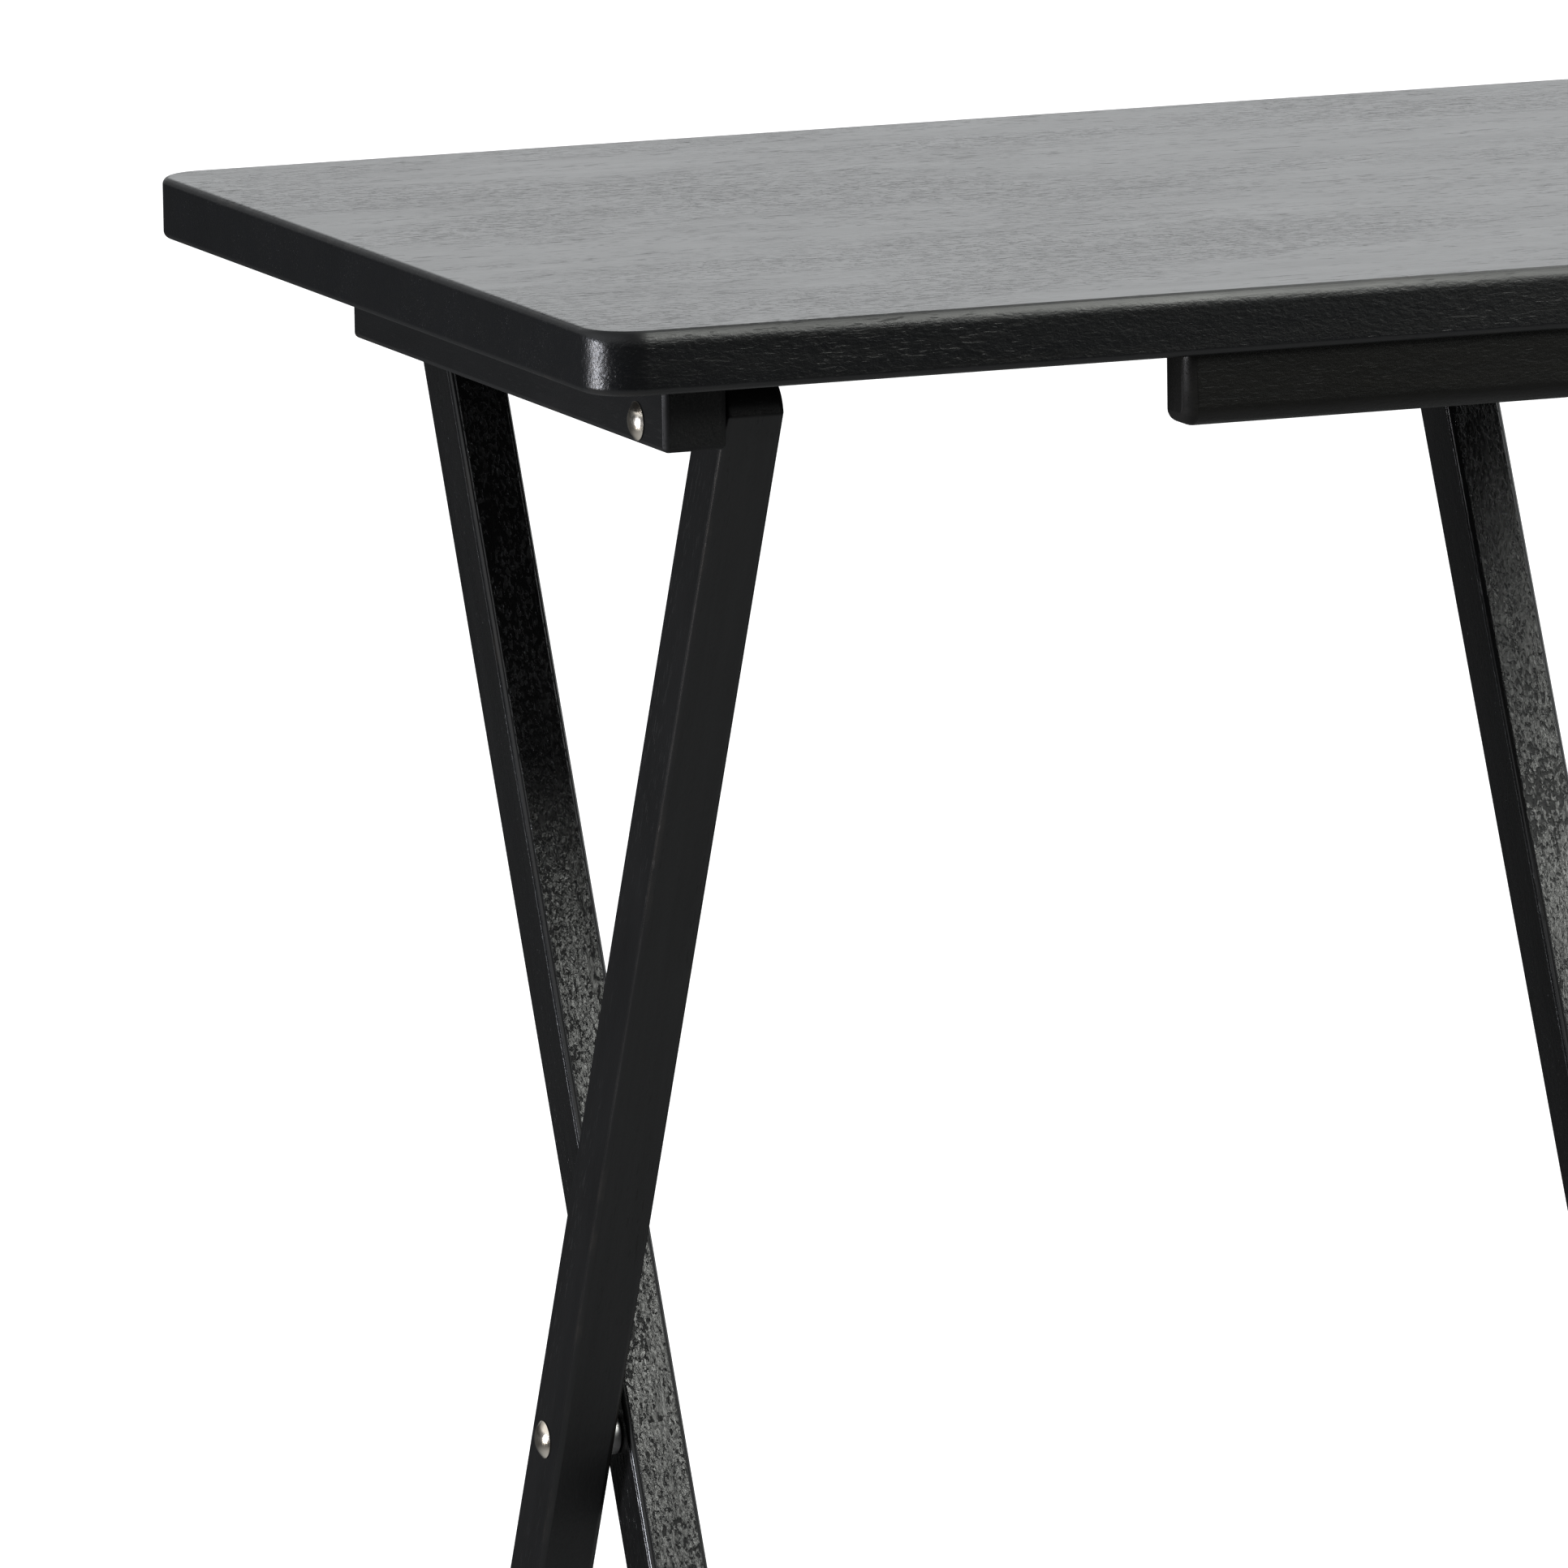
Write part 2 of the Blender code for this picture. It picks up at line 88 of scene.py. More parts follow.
# --------------------------------------------------------------------------
# Node helpers
# --------------------------------------------------------------------------
class Graph:
    def __init__(self, mat):
        self.tree = mat.node_tree
        self.nodes, self.links = self.tree.nodes, self.tree.links

    def node(self, kind, **values):
        n = self.nodes.new(kind)
        for key, value in values.items():
            if hasattr(n, key):
                setattr(n, key, value)
            else:
                n.inputs[key.replace("_", " ")].default_value = value
        return n

    def link(self, a, b):
        self.links.new(a, b)

    def noise(self, vec, scale, detail=3.0, rough=0.55, distortion=0.0):
        n = self.nodes.new("ShaderNodeTexNoise")
        n.inputs["Scale"].default_value = scale
        n.inputs["Detail"].default_value = detail
        n.inputs["Roughness"].default_value = rough
        n.inputs["Distortion"].default_value = distortion
        self.link(vec, n.inputs["Vector"])
        return n.outputs["Fac"]

    def stretch(self, vec, scale, place=(0, 0, 0), turn=(0, 0, 0)):
        n = self.nodes.new("ShaderNodeMapping")
        n.inputs["Scale"].default_value = scale
        n.inputs["Location"].default_value = place
        n.inputs["Rotation"].default_value = turn
        self.link(vec, n.inputs["Vector"])
        return n.outputs["Vector"]

    def ramp(self, fac, stops, smooth=False):
        n = self.nodes.new("ShaderNodeMapRange")
        n.interpolation_type = "SMOOTHSTEP" if smooth else "LINEAR"
        (a, b), (c, d) = stops
        n.inputs["From Min"].default_value = a
        n.inputs["To Min"].default_value = b
        n.inputs["From Max"].default_value = c
        n.inputs["To Max"].default_value = d
        self.link(fac, n.inputs["Value"])
        return n.outputs["Result"]

    def math(self, op, a, b=None, c=None):
        n = self.nodes.new("ShaderNodeMath")
        n.operation = op
        for i, v in enumerate((a, b, c)):
            if v is None:
                continue
            if isinstance(v, (int, float)):
                n.inputs[i].default_value = v
            else:
                self.link(v, n.inputs[i])
        return n.outputs[0]

    def mix(self, fac, a, b):
        n = self.nodes.new("ShaderNodeMix")
        n.data_type = "RGBA"
        for socket, v in ((n.inputs["Factor"], fac), (n.inputs["A"], a), (n.inputs["B"], b)):
            if isinstance(v, (int, float)):
                socket.default_value = v
            elif isinstance(v, tuple):
                socket.default_value = (*v, 1)
            else:
                self.link(v, socket)
        return n.outputs["Result"]

    def bump(self, height, strength, distance, below=None):
        n = self.nodes.new("ShaderNodeBump")
        n.inputs["Strength"].default_value = strength
        n.inputs["Distance"].default_value = distance
        self.link(height, n.inputs["Height"])
        if below is not None:
            self.link(below, n.inputs["Normal"])
        return n.outputs["Normal"]


def new_material(name):
    mat = bpy.data.materials.new(name)
    mat.use_nodes = True
    g = Graph(mat)
    shader = g.nodes["Principled BSDF"]
    coords = g.nodes.new("ShaderNodeTexCoord").outputs["Object"]
    return mat, g, shader, coords


# --------------------------------------------------------------------------
# Materials
# --------------------------------------------------------------------------
def wood_material(name, turn, place, gloss=0.34, streak=1.0, speck=1.0, flat_top=False,
                  tone_and_shade=(1, 1, 1), arris=0.07, pits=0.0, shine=0.5):
    """Black stain under thin satin lacquer. The grain runs along the mapped X axis.

    Scales are per metre: growth streaks 1 to 3 mm wide and some 60 mm long, open
    pores 0.4 mm wide and 4 mm long, and the pebbled skin of sprayed lacquer, about
    1 mm. flat_top calms the streaks and the pebbling on a face that points up and
    leaves short embossed pore marks in drifts there.
    """
    mat, g, shader, coords = new_material(name)
    along = g.stretch(coords, (1, 1, 1), place, turn)

    broad = g.noise(g.stretch(along, (2.4, 24, 24)), 1.0, 3, 0.5, 0.6)
    streaks = g.noise(g.stretch(along, (11, 300, 300)), 1.0, 4, 0.62, 0.35)
    fine = g.noise(g.stretch(along, (50, 1150, 1150)), 1.0, 3, 0.6, 0.2)
    pore_field = g.noise(g.stretch(along, (190, 1500, 1500), (3.1, 1.7, 0.4)), 1.0, 2, 0.45)
    pores = g.ramp(pore_field, ((0.60, 0.0), (0.70, 1.0)), True)
    pore_where = g.ramp(g.noise(g.stretch(along, (9, 60, 60), (5, 2, 9)), 1.0, 2, 0.5),
                        ((0.42, 0.15), (0.62, 1.0)), True)
    pores = g.math("MULTIPLY", pores, pore_where)
    pebble = g.noise(g.stretch(along, (430, 950, 950), (1.3, 0.2, 2.2)), 1.0, 3, 0.6, 0.5)
    skin = g.noise(g.stretch(along, (120, 240, 240), (4.3, 1.2, 0.2)), 1.0, 3, 0.55, 0.4)
    blotch = g.noise(g.stretch(along, (16, 60, 60), (0.4, 4.2, 1.2)), 1.0, 3, 0.6, 0.5)

    edge = g.nodes.new("ShaderNodeAttribute")
    edge.attribute_name = "edge"
    edge = edge.outputs["Fac"]
    worn = g.math("MULTIPLY", g.ramp(edge, ((0.25, 0.0), (0.95, 1.0)), True),
                  g.ramp(g.noise(g.stretch(along, (38, 90, 90), (7, 7, 1)), 1.0, 4, 0.65),
                         ((0.50, 0.0), (0.68, 1.0)), True))

    calm = 0.0
    if flat_top:
        facing = g.nodes.new("ShaderNodeSeparateXYZ")
        normal_now = g.nodes.new("ShaderNodeTexCoord").outputs["Normal"]
        g.link(normal_now, facing.inputs[0])
        calm = g.ramp(facing.outputs["Z"], ((0.80, 0.0), (0.985, 1.0)), True)

    def eased(value, least):
        """The value as it is on the sides, and least of it on a flat top."""
        if not flat_top:
            return value
        return g.math("MULTIPLY", value, g.ramp(calm, ((0.0, 1.0), (1.0, least))))

    # tone_and_shade scales the stain per piece: on the front block it is a brownish tone, on the top, cleats and
    # outer legs it is painted shade that makes them darker copies of one wood
    dark = tuple(a * b for a, b in zip((0.0034, 0.0037, 0.0040), tone_and_shade))
    mid = tuple(a * b for a, b in zip((0.0078, 0.0081, 0.0084), tone_and_shade))
    colour = g.mix(eased(g.ramp(streaks, ((0.36, 0.0), (0.66, 1.0))), 0.8), dark, mid)
    colour = g.mix(g.ramp(broad, ((0.35, 0.0), (0.70, 0.30))), colour,
                   tuple(a * b for a, b in zip((0.0110, 0.0107, 0.0100), tone_and_shade)))
    colour = g.mix(g.math("MULTIPLY", pores, 0.8), colour, (0.0022, 0.0022, 0.0022))
    colour = g.mix(g.math("MULTIPLY", worn, 0.45), colour, (0.022, 0.019, 0.016))
    g.link(colour, shader.inputs["Base Color"])

    rough = g.ramp(eased(g.math("SUBTRACT", streaks, 0.5), 0.12),
                   ((-0.5, gloss + 0.10 * streak), (0.5, gloss - 0.10 * streak)))
    uneven = 0.4 if flat_top else 1.0
    rough = g.math("ADD", rough, g.ramp(blotch, ((0.36, -0.025 * uneven), (0.66, 0.035 * uneven))))
    rough = g.math("ADD", rough, g.math("MULTIPLY", pores, 0.16))
    rough = g.math("SUBTRACT", rough, g.math("MULTIPLY", edge, arris))
    if pits:
        # raised grain under thin lacquer: dull specks that crowd together in clouds
        speckle = g.noise(g.stretch(along, (520, 900, 900), (6.1, 0.9, 3.7)), 1.0, 3, 0.62, 0.3)
        cloud = g.noise(g.stretch(along, (22, 60, 60), (2.2, 5.5, 0.3)), 1.0, 3, 0.6, 0.3)
        level = g.math("ADD", speckle, g.ramp(cloud, ((0.34, -0.08), (0.68, 0.08))))
        dimple = g.math("MULTIPLY", g.ramp(level, ((0.52, 0.0), (0.66, 1.0)), True),
                        g.ramp(edge, ((0.0, 1.0), (0.6, 0.0))))
        sideways = g.nodes.new("ShaderNodeSeparateXYZ")
        g.link(g.nodes.new("ShaderNodeTexCoord").outputs["Normal"], sideways.inputs[0])
        dimple = g.math("MULTIPLY", dimple,
                        g.ramp(g.math("ABSOLUTE", sideways.outputs["X"]), ((0.3, 1.0), (0.8, 0.12))))
        rough = g.math("ADD", rough, g.math("MULTIPLY", dimple, 0.34 * pits))
    g.link(rough, shader.inputs["Roughness"])

    height = g.math("MULTIPLY", streaks, 0.40 * streak)
    height = g.math("ADD", height, g.math("MULTIPLY", fine, 0.20 * streak))
    height = eased(height, 0.10)
    height = g.math("SUBTRACT", height, g.math("MULTIPLY", pores, 0.6))
    smoothed = g.ramp(edge, ((0.1, 1.0), (0.8, 0.15)))
    normal = g.bump(g.math("MULTIPLY", height, smoothed), 0.6, 0.00010)
    grit = g.math("ADD", g.math("MULTIPLY", pebble, 0.75), g.math("MULTIPLY", skin, 0.7))
    grit = g.math("MULTIPLY", grit, g.ramp(edge, ((0.0, 1.0), (0.7, 0.05))))
    normal = g.bump(eased(grit, 0.05), 1.0, 0.00022 * speck, normal)
    if pits:
        normal = g.bump(g.math("MULTIPLY", dimple, -1.0), 1.0, 0.00016 * pits, normal)
    if flat_top:
        wave = g.noise(g.stretch(along, (230, 560, 560), (9.3, 4.2, 3.3)), 1.0, 2, 0.5, 0.9)
        drift = g.ramp(g.noise(g.stretch(along, (6, 17, 17), (2.7, 8.1, 4)), 1.0, 3, 0.55),
                       ((0.42, 0.06), (0.66, 1.0)), True)
        marks = g.math("MULTIPLY", g.ramp(wave, ((0.50, 0.0), (0.66, 1.0)), True), drift)
        marks = g.math("MULTIPLY", marks, calm)
        normal = g.bump(marks, 1.0, 0.00017, normal)
        scar = g.noise(g.stretch(along, (62, 420, 420), (0.3, 6.2, 8.3)), 1.0, 2, 0.5, 0.5)
        scar = g.math("MULTIPLY", g.ramp(scar, ((0.66, 0.0), (0.74, 1.0)), True), calm)
        normal = g.bump(g.math("MULTIPLY", scar, -1.0), 1.0, 0.00022, normal)
        swell = g.noise(g.stretch(along, (9, 22, 22), (1.7, 3.1, 4)), 1.0, 2, 0.5, 0.4)
        normal = g.bump(g.math("MULTIPLY", swell, calm), 1.0, 0.00018, normal)
    g.link(normal, shader.inputs["Normal"])
    shader.inputs["IOR"].default_value = 1.5
    shader.inputs["Specular IOR Level"].default_value = shine
    return mat


def metal_material(name, base, tint, rough, spots=0.3, brushed=0.0, relief=1.0):
    """Plated metal: tiny pits, handling marks and a slightly uneven plate."""
    mat, g, shader, coords = new_material(name)
    cloud = g.noise(g.stretch(coords, (210, 210, 210)), 1.0, 4, 0.6, 0.3)
    pit = g.ramp(g.noise(g.stretch(coords, (1500, 1500, 1500), (1, 4, 2)), 1.0, 2, 0.5),
                 ((0.66, 0.0), (0.76, 1.0)), True)
    scratch = g.noise(g.stretch(coords, (260, 3800, 900), (0, 2, 5), (0.5, 0.3, 0.9)), 1.0, 3, 0.6)
    colour = g.mix(g.ramp(cloud, ((0.35, 0.0), (0.68, 1.0))), base, tint)
    colour = g.mix(g.math("MULTIPLY", pit, spots), colour, tuple(c * 0.25 for c in base))
    g.link(colour, shader.inputs["Base Color"])
    r = g.ramp(cloud, ((0.35, rough - 0.03), (0.70, rough + 0.05)))
    r = g.math("ADD", r, g.ramp(scratch, ((0.45, 0.0), (0.75, 0.10))))
    r = g.math("ADD", r, g.math("MULTIPLY", pit, 0.25 * relief))
    g.link(r, shader.inputs["Roughness"])
    height = g.math("SUBTRACT", g.math("MULTIPLY", scratch, 0.25 + brushed), pit)
    g.link(g.bump(height, (0.25 + brushed * 0.4) * relief, 0.00004), shader.inputs["Normal"])
    shader.inputs["Metallic"].default_value = 1.0
    return mat


def nylon_material(name):
    mat, g, shader, coords = new_material(name)
    grain = g.noise(g.stretch(coords, (1400, 1400, 1400)), 1.0, 4, 0.6)
    cloud = g.noise(g.stretch(coords, (70, 70, 70)), 1.0, 3, 0.5)
    scuff = g.ramp(g.noise(g.stretch(coords, (60, 900, 300), (3, 0, 0), (0.2, 0.6, 0)), 1.0, 3, 0.6),
                   ((0.60, 0.0), (0.72, 1.0)), True)
    colour = g.mix(g.ramp(cloud, ((0.35, 0.0), (0.7, 1.0))), (0.014, 0.014, 0.015),
                   (0.024, 0.024, 0.025))
    colour = g.mix(g.math("MULTIPLY", scuff, 0.5), colour, (0.06, 0.06, 0.06))
    g.link(colour, shader.inputs["Base Color"])
    g.link(g.ramp(grain, ((0.3, 0.42), (0.7, 0.60))), shader.inputs["Roughness"])
    g.link(g.bump(grain, 0.35, 0.00006), shader.inputs["Normal"])
    return mat


QUARTER = math.pi / 2
# Painted shade: the top, the cleats and the outer legs take the same stain darkened and cooled by
# tone_and_shade, while the inner legs and rails keep it in full; the front block's factor is its own brownish
# tone
WOOD_TOP = wood_material("wood_top", (0, 0, 0), (0.37, 0.11, 0), gloss=0.33, streak=1.2,
                         speck=0.9, flat_top=True, tone_and_shade=(0.56, 0.60, 0.72), arris=-0.10)
WOOD_RAIL = wood_material("wood_rail", (0, 0, 0), (0.91, 0.43, 0.2), gloss=0.36, speck=0.6)
WOOD_BATTEN = wood_material("wood_front_block", (0, 0, 0), (0.21, 0.83, 0.6), gloss=0.42,
                            speck=0.8, tone_and_shade=(1.0, 0.93, 0.80), shine=0.28, arris=-0.30)
# painted shade: tone_and_shade darkens the cleats' stain
WOOD_CLEAT = wood_material("wood_cleat", (0, 0, QUARTER), (0.13, 0.77, 0), gloss=0.44, speck=0.7,
                           arris=-0.25, tone_and_shade=(0.62, 0.65, 0.70), shine=0.40)
# painted shade: tone_and_shade darkens the outer legs' stain
# a leg's own length turned onto the mapped X axis
WOOD_OUTER = wood_material("wood_outer_leg", (-TILT, QUARTER, 0), (0.2, 0.31, 0.9), gloss=0.36,
                           speck=0.35, streak=0.6, tone_and_shade=(0.66, 0.66, 0.70))
WOOD_INNER = wood_material("wood_inner_leg", (TILT, QUARTER, 0), (0.7, 0.52, 0.4), gloss=0.26,
                           speck=1.5, streak=0.6, arris=0.10, pits=1.0)
BOLT_METAL = metal_material("bolt_plate", (0.92, 0.82, 0.70), (0.97, 0.92, 0.82), 0.15, relief=0.3)
WASHER_METAL = metal_material("washer_zinc", (0.50, 0.50, 0.50), (0.62, 0.61, 0.60), 0.42, brushed=0.4)
SCREW_METAL = metal_material("screw_zinc", (0.34, 0.34, 0.35), (0.48, 0.47, 0.46), 0.32)
BRASS = metal_material("insert_brass", (0.66, 0.46, 0.20), (0.76, 0.57, 0.28), 0.28)
NYLON = nylon_material("clip_nylon")


# --------------------------------------------------------------------------
# Mesh helpers
# --------------------------------------------------------------------------
def add_prism(bm, loop, offset):
    a = [bm.verts.new(p) for p in loop]
    b = [bm.verts.new(Vector(p) + Vector(offset)) for p in loop]
    n = len(loop)
    bm.faces.new(a)
    bm.faces.new(b[::-1])
    for i in range(n):
        bm.faces.new((a[i], b[i], b[(i + 1) % n], a[(i + 1) % n]))


def add_turned(bm, start, axis, profile, segments):
    axis = Vector(axis).normalized()
    u = axis.orthogonal().normalized()
    v = axis.cross(u)
    rings = []
    for along, r in profile:
        centre = Vector(start) + axis * along
        if r <= 0:
            rings.append([bm.verts.new(centre)])
        else:
            rings.append([bm.verts.new(centre + (u * math.cos(t) + v * math.sin(t)) * r)
                          for t in (2 * math.pi * k / segments for k in range(segments))])
    for a, b in zip(rings, rings[1:]):
        for k in range(segments):
            m = (k + 1) % segments
            if len(a) == 1 and len(b) == 1:
                continue
            if len(a) == 1:
                bm.faces.new((a[0], b[k], b[m]))
            elif len(b) == 1:
                bm.faces.new((a[k], b[0], a[m]))
            else:
                bm.faces.new((a[k], b[k], b[m], a[m]))
    if len(rings[0]) > 1:
        bm.faces.new(rings[0])
    if len(rings[-1]) > 1:
        bm.faces.new(rings[-1][::-1])


def add_ring(bm, start, axis, section, segments):
    """Closed ring from (along, radius) pairs that go round its section."""
    axis = Vector(axis).normalized()
    u = axis.orthogonal().normalized()
    v = axis.cross(u)
    rings = []
    for k in range(segments):
        t = 2 * math.pi * k / segments
        out = u * math.cos(t) + v * math.sin(t)
        rings.append([bm.verts.new(Vector(start) + axis * a + out * r) for a, r in section])
    n = len(section)
    for k in range(segments):
        a, b = rings[k], rings[(k + 1) % segments]
        for i in range(n):
            bm.faces.new((a[i], b[i], b[(i + 1) % n], a[(i + 1) % n]))


def soften(bm, width, segments, sharp=math.radians(40), keep=None):
    """Round every sharp edge and mark the rounded part in the edge layer."""
    bmesh.ops.recalc_face_normals(bm, faces=bm.faces[:])
    layer = bm.verts.layers.float.get("edge") or bm.verts.layers.float.new("edge")
    edges = [e for e in bm.edges if len(e.link_faces) == 2
             and e.calc_face_angle(0) > sharp and (keep is None or keep(e))]
    made = bmesh.ops.bevel(bm, geom=edges, offset=width, offset_type="OFFSET",
                           segments=segments, profile=0.5, affect="EDGES",
                           clamp_overlap=True, loop_slide=True)
    rounded = set(made["faces"])
    for v in bm.verts:
        if v.link_faces and all(f in rounded for f in v.link_faces):
            v[layer] = 1.0
    return bm


def object_from(bm, name):
    bmesh.ops.recalc_face_normals(bm, faces=bm.faces[:])
    mesh = bpy.data.meshes.new(name)
    bm.to_mesh(mesh)
    bm.free()
    ob = bpy.data.objects.new(name, mesh)
    scene.collection.objects.link(ob)
    return ob


def carve(ob, cutters, union=()):
    """Cut (or join) solids for good, and drop the tools."""
    for kind, tools in (("UNION", union), ("DIFFERENCE", cutters)):
        for tool in tools:
            mod = ob.modifiers.new("cut", "BOOLEAN")
            mod.operation = kind
            mod.solver = "EXACT"
            mod.object = tool
    bpy.context.view_layer.update()
    graph = bpy.context.evaluated_depsgraph_get()
    mesh = bpy.data.meshes.new_from_object(ob.evaluated_get(graph))
    ob.modifiers.clear()
    old, ob.data = ob.data, mesh
    bpy.data.meshes.remove(old)
    mesh.name = ob.name
    for tool in list(cutters) + list(union):
        data = tool.data
        bpy.data.objects.remove(tool, do_unlink=True)
        bpy.data.meshes.remove(data)
    return ob


def dress(ob, mat, body, nodes, angle=32, weighted=True):
    """Shade, finish and attach a piece that stands for CAD nodes."""
    ob.data.materials.clear()
    ob.data.materials.append(mat)
    ob.data.shade_smooth()
    ob.data.set_sharp_from_angle(angle=math.radians(angle))
    if weighted:
        mod = ob.modifiers.new("normals", "WEIGHTED_NORMAL")
        mod.keep_sharp = True
        mod.weight = 60
    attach(ob, body)
    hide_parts(*nodes)
    return ob


def middle(node):
    lo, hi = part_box(node)
    return (lo + hi) / 2


def hole(name, start, axis, profile, segments=32):
    bm = bmesh.new()
    add_turned(bm, start, axis, profile, segments)
    return object_from(bm, name)


# --------------------------------------------------------------------------
# Screws: countersunk heads with a cross recess, one shared mesh per length
# --------------------------------------------------------------------------
SCREW_HEAD_R, SCREW_R, SCREW_HEAD_H = 3.5 * MM, 1.75 * MM, 2.1 * MM


def screw_template(length):
    bm = bmesh.new()
    profile = [(0.16 * MM, 0), (0.10 * MM, 1.2 * MM), (0.0, 2.6 * MM), (0.02 * MM, 3.2 * MM),
               (0.12 * MM, 3.40 * MM), (0.28 * MM, 3.42 * MM), (SCREW_HEAD_H, SCREW_R)]
    # a coarse thread: the profile's radius steps in and out down the shank
    z, k = SCREW_HEAD_H + 2.5 * MM, 0
    profile.append((z, SCREW_R))
    while z < length - 4.2 * MM:
        profile += [(z + 0.15 * MM, SCREW_R * 0.70), (z + 0.75 * MM, SCREW_R * 0.70),
                    (z + 1.05 * MM, SCREW_R)]
        z += 1.2 * MM
    profile += [(z + 0.3 * MM, SCREW_R * 0.68), (length - 0.3 * MM, SCREW_R * 0.18), (length, 0)]
    add_turned(bm, (0, 0, 0), (0, 0, 1), profile, 32)
    ob = object_from(bm, "screw_form")
    tools = []
    for turn in (0, QUARTER):
        bm = bmesh.new()
        w, d = 0.42 * MM, 1.9 * MM
        top, low = 2.05 * MM, 0.55 * MM
        rot = Matrix.Rotation(turn, 3, "Z")
        corners = [(-top, -w, -1 * MM), (top, -w, -1 * MM), (top, w, -1 * MM), (-top, w, -1 * MM)]
        a = [bm.verts.new(rot @ Vector(c)) for c in corners]
        mids = [(-top, -w, 0.2 * MM), (top, -w, 0.2 * MM), (top, w, 0.2 * MM), (-top, w, 0.2 * MM)]
        m = [bm.verts.new(rot @ Vector(c)) for c in mids]
        deep = [(-low, -w * 0.7, d), (low, -w * 0.7, d), (low, w * 0.7, d), (-low, w * 0.7, d)]
        b = [bm.verts.new(rot @ Vector(c)) for c in deep]
        bm.faces.new(a)
        bm.faces.new(b[::-1])
        for r0, r1 in ((a, m), (m, b)):
            for i in range(4):
                bm.faces.new((r0[i], r1[i], r1[(i + 1) % 4], r0[(i + 1) % 4]))
        tools.append(object_from(bm, "cross_tool"))
    carve(ob, tools)
    mesh = ob.data
    bpy.data.objects.remove(ob, do_unlink=True)
    mesh.materials.append(SCREW_METAL)
    mesh.shade_smooth()
    mesh.set_sharp_from_angle(angle=math.radians(32))
    return mesh


screw_meshes = {}


def place_screw(node, axis, length, body):
    """Stand a detailed screw where the CAD node is; its head faces -axis."""
    axis = Vector(axis).normalized()
    points = [v.co for v in frame["nodes"][node].data.vertices]
    least = min(p.dot(axis) for p in points)
    head = [p for p in points if p.dot(axis) < least + 0.02 * MM]
    centre = sum(head, Vector()) / len(head)
    if length not in screw_meshes:
        screw_meshes[length] = screw_template(length)
        screw_meshes[length].name = "screw_%02d" % round(length / MM)
    ob = bpy.data.objects.new(node + "_detail", screw_meshes[length])
    scene.collection.objects.link(ob)
    turn = UP.rotation_difference(axis).to_matrix() @ Matrix.Rotation(random.uniform(0, QUARTER), 3, "Z")
    ob.matrix_world = Matrix.Translation(centre) @ turn.to_4x4()
    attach(ob, body)
    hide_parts(node)
    return centre


def sunk_hole(name, centre, axis):
    """The countersink and clearance hole round a screw."""
    g = 0.22 * MM
    axis = Vector(axis).normalized()
    return hole(name, centre, axis,
                [(-3 * MM, SCREW_HEAD_R + g + 2.0 * MM), (-0.9 * MM, SCREW_HEAD_R + g + 0.0 * MM),
                 (0.3 * MM, SCREW_HEAD_R + g), (SCREW_HEAD_H + 0.2 * MM, SCREW_R + g),
                 (36 * MM, SCREW_R + g)], 40)


def plain_hole(name, centre, axis):
    g = 0.22 * MM
    return hole(name, centre, axis, [(-2 * MM, SCREW_R + g), (36 * MM, SCREW_R + g)], 24)


# --------------------------------------------------------------------------
# Top
# --------------------------------------------------------------------------
lo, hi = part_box("tabletop")
hx, hy, R = hi.x, hi.y, 15 * MM
EDGE_TOP, EDGE_LOW = 2.2 * MM, 2.2 * MM


def outline(steps=20):
    """Rounded rectangle as (place, outward normal) pairs."""
    pts = []
    for sx, sy, start in ((1, 1, 0), (-1, 1, 90), (-1, -1, 180), (1, -1, 270)):
        for k in range(steps + 1):
            t = math.radians(start + 90 * k / steps)
            way = Vector((math.cos(t), math.sin(t), 0))
            pts.append((Vector((sx * (hx - R), sy * (hy - R), 0)) + way * R, way))
    # a few more points along the straight runs keep the long faces even
    full = []
    for (a, na), (b, nb) in zip(pts, pts[1:] + pts[:1]):
        full.append((a, na))
        gap = (b - a).length
        if gap > 0.05:
            n = int(gap / 0.03)
            full += [(a.lerp(b, k / n), na) for k in range(1, n)]
    return full


bm = bmesh.new()
layer = bm.verts.layers.float.new("edge")
around = outline()
loops = []
steps = 7


BREAK, ROLL_FROM = 1.2 * MM, math.radians(62)


def upper_arris(way, t):
    """How far in from the side and down from the top, where the surface has turned
    by t from flat. The front edge breaks crisply and then rolls over slowly."""
    even = (EDGE_TOP * (1 - math.sin(t)), EDGE_TOP * (1 - math.cos(t)))
    roll = 8 * MM
    if t < ROLL_FROM:
        a = (roll * (1 - math.sin(ROLL_FROM)) + BREAK * (math.sin(ROLL_FROM) - math.sin(t)),
             BREAK * (1 - math.cos(t)))
    else:
        a = (roll * (1 - math.sin(t)),
             BREAK * (1 - math.cos(ROLL_FROM)) + roll * (math.cos(ROLL_FROM) - math.cos(t)))
    f = max(0.0, -way.y)
    f = f * f * (3 - 2 * f)
    return even[0] + (a[0] - even[0]) * f, even[1] + (a[1] - even[1]) * f



for k in range(steps + 1):            # lower arris, from the underside out
    t = QUARTER * k / steps
    ring = []
    for p, way in around:
        q = p - way * (EDGE_LOW * (1 - math.sin(t)))
        v = bm.verts.new((q.x, q.y, lo.z + EDGE_LOW * (1 - math.cos(t))))
        v[layer] = math.sin(2 * t) ** 1.5 if 0 < k < steps else 0
        ring.append(v)
    loops.append(ring)
turns = [90, 86, 82, 78, 74, 70, 66, 62, 48, 34, 22, 11, 0]
for k, degrees in enumerate(turns):   # upper arris, from the side up
    t = math.radians(degrees)
    ring = []
    for p, way in around:
        in_by, down_by = upper_arris(way, t)
        q = p - way * in_by
        v = bm.verts.new((q.x, q.y, hi.z - down_by))
        v[layer] = math.sin(2 * t) ** 1.5 if 0 < k < len(turns) - 1 else 0
        ring.append(v)
    loops.append(ring)
